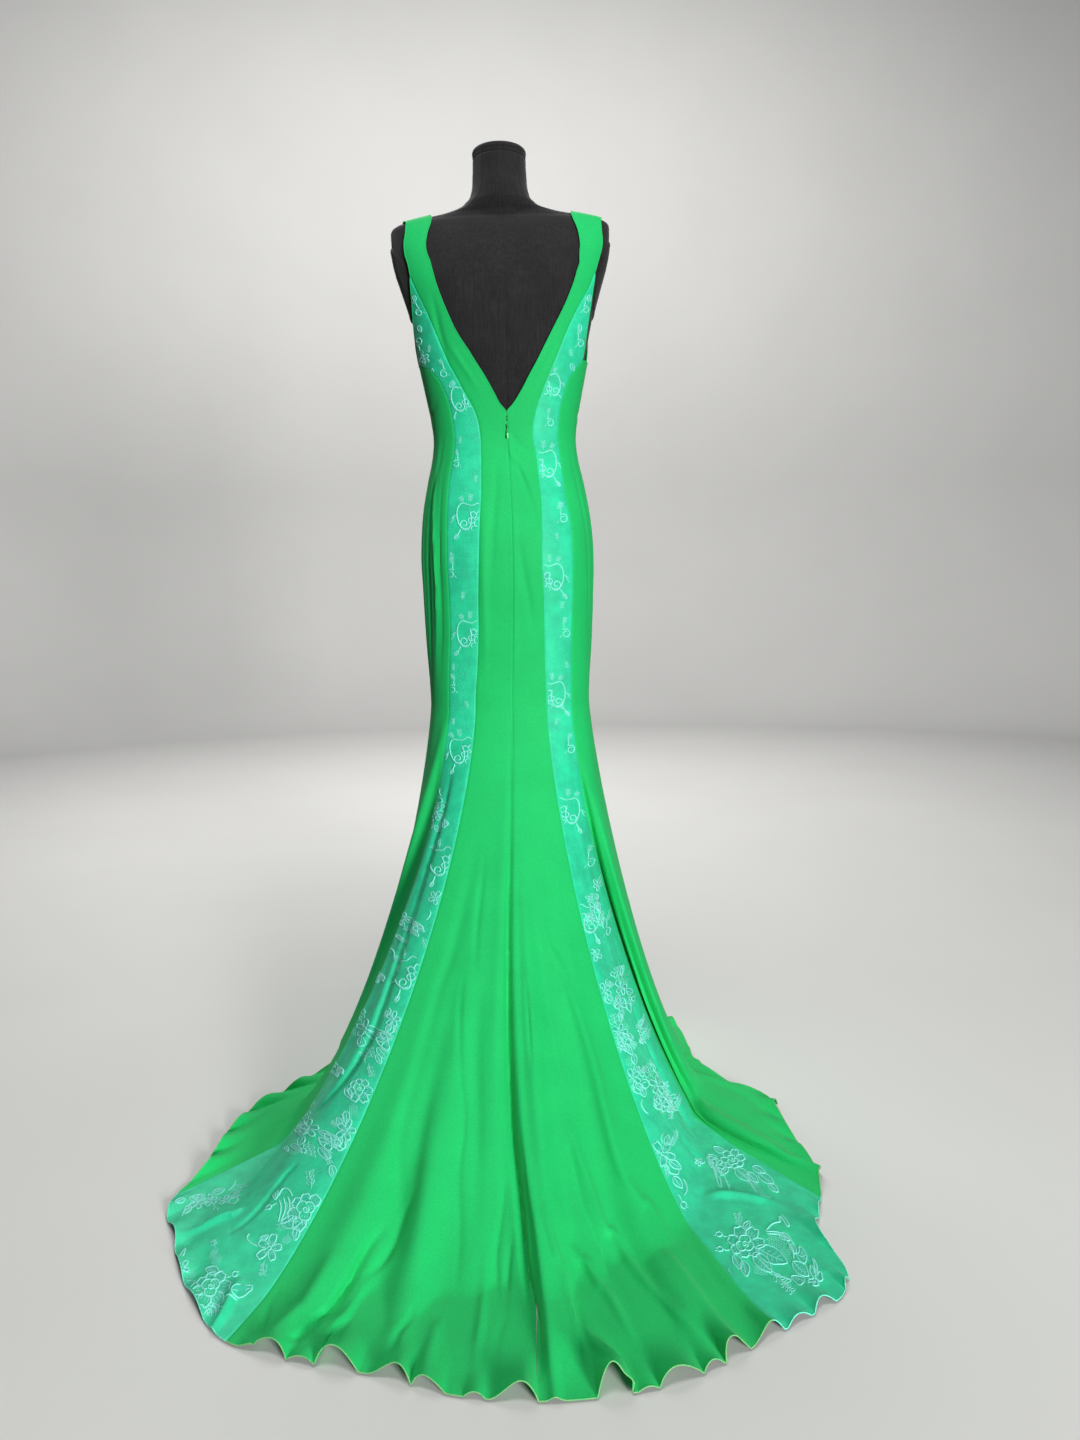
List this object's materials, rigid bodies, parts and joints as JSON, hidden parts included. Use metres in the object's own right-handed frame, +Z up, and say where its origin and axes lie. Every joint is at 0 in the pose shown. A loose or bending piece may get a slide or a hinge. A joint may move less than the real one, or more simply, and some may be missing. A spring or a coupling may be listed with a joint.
{
  "type": "mermaid prom dress on dress form",
  "caption": "Sleeveless mermaid gown with a deep V back, lace insert panels and a spread train, on a limbless dress form with a pole stand.",
  "frame": {"origin": "on the floor, at the centre of the underside of the stand's base, on the axis of the pole", "axes": "+Z up along the pole, +Y towards the back of the dress, where the train lies, +X towards the wearer's left"},
  "size_m": [0.937, 1.2398, 1.6323],
  "materials": {
    "green_crepe": "matte polyester crepe with a faint sheen",
    "turquoise_lace": "corded lace laid on a satin underlay",
    "form_cloth": "matte stretch jersey cover, charcoal black",
    "stand_metal": "satin black powder coat",
    "zip_metal": "green enamelled zip slider, tab, hook and eye"
  },
  "bodies": {
    "root": {"centre_back_left": "green_crepe", "centre_back_right": "green_crepe", "lace_back_left": "turquoise_lace", "lace_back_right": "turquoise_lace", "side_left": "green_crepe", "side_right": "green_crepe", "front": "green_crepe", "form_torso": "form_cloth", "neck_cap": "form_cloth", "stand_base": "stand_metal", "stand_pole": "stand_metal", "hook": "zip_metal", "eye": "zip_metal", "zip_slider": "zip_metal"},
    "pull_tab": {"zip_pull": "zip_metal"}
  },
  "joints": [
    {"name": "pull_tab_hinge", "type": "hinge", "parent": "root", "child": "pull_tab", "pos_m": [0, 0.08449, 1.1475], "axis": [1, 0, 0], "range_deg": [0, 140]}
  ]
}
